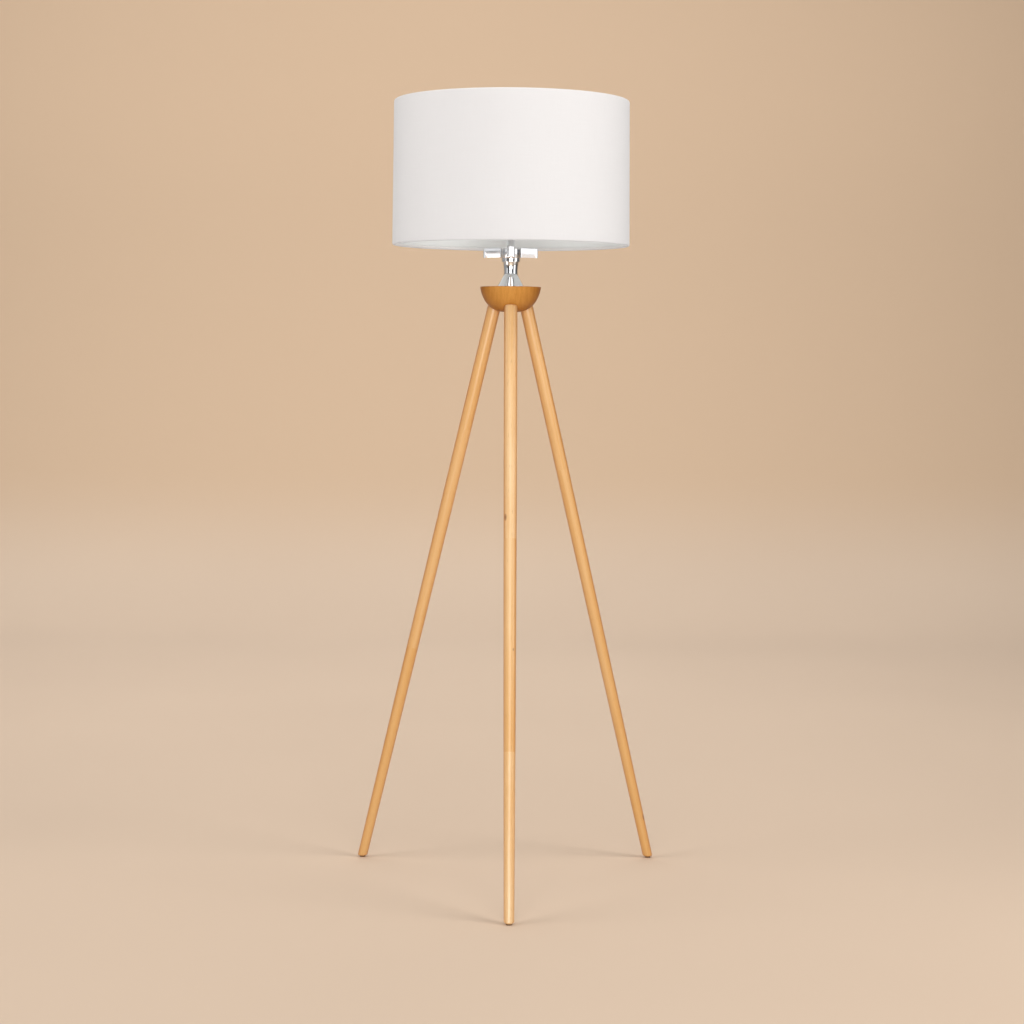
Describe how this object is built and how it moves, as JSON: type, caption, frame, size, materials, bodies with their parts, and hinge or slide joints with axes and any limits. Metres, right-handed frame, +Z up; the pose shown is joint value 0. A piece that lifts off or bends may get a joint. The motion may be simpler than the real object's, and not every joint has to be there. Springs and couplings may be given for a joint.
{
  "type": "tripod floor lamp",
  "caption": "Floor lamp with splayed wooden dowel legs under a wooden bowl hub, a chrome neck with a star collar, and a white fabric drum shade that turns on the lampholder.",
  "frame": {"origin": "on the lamp's axis at floor level, at the middle of the circle through the foot pads", "axes": "+Z up along the lamp's axis, -Y towards the front leg, +X to the right seen from the front"},
  "size_m": [0.595, 0.5676, 1.4921],
  "materials": {
    "leg_wood": "satin lacquer",
    "hub_wood": "satin lacquer",
    "chrome": "polished",
    "steel": "zinc plated",
    "brass": "plain",
    "holder_plastic": "satin moulded",
    "core_ceramic": "unglazed",
    "bush_plastic": "satin moulded",
    "pad_rubber": "matt",
    "shade_fabric": "fine plain weave",
    "shade_liner": "matt sheet",
    "frame_paint": "white powder coat",
    "bulb_glass": "opal",
    "bulb_metal": "plain",
    "bulb_insulator": "vitreous"
  },
  "bodies": {
    "stand": {"leg_front": "leg_wood", "leg_left": "leg_wood", "leg_right": "leg_wood", "hub": "hub_wood", "neck": "chrome", "star_collar": "chrome", "stem_tube": "chrome", "leg_studs": "steel", "threaded_rod": "steel", "rod_washer": "steel", "rod_nut": "steel", "lampholder_nut": "steel", "terminal_screws": "steel", "hub_inserts": "brass", "screw_shell": "brass", "centre_contact": "brass", "lampholder_cap": "holder_plastic", "lampholder_skirt": "holder_plastic", "shade_ring_lower": "holder_plastic", "shade_ring_upper": "holder_plastic", "lampholder_core": "core_ceramic", "cord_bush": "bush_plastic", "foot_pad_front": "pad_rubber", "foot_pad_left": "pad_rubber", "foot_pad_right": "pad_rubber"},
    "shade": {"shade_washer": "frame_paint", "shade_spokes": "frame_paint", "shade_bottom_hoop": "frame_paint", "shade_top_hoop": "frame_paint", "shade_liner": "shade_liner", "shade_fabric": "shade_fabric"},
    "bulb_foot": {"bulb_contact": "brass", "bulb_insulator": "bulb_insulator"},
    "bulb": {"bulb_cap": "bulb_metal", "bulb_glass": "bulb_glass"}
  },
  "joints": [
    {"name": "shade_swivel", "type": "hinge", "parent": "stand", "child": "shade", "pos_m": [0, 0, 1.2703], "axis": [0, 0, 1], "continuous": true},
    {"name": "bulb_lift", "type": "slide", "parent": "stand", "child": "bulb_foot", "axis": [0, 0, 1], "range_m": [0, 0.0091]},
    {"name": "bulb_turn", "type": "hinge", "parent": "bulb_foot", "child": "bulb", "pos_m": [0, 0, 1.2836], "axis": [0, 0, 1], "range_deg": [0, 900]}
  ],
  "couplings": [
    {"joint": "bulb_lift", "follows": "bulb_turn", "m_per_rad": 0.00057757}
  ]
}
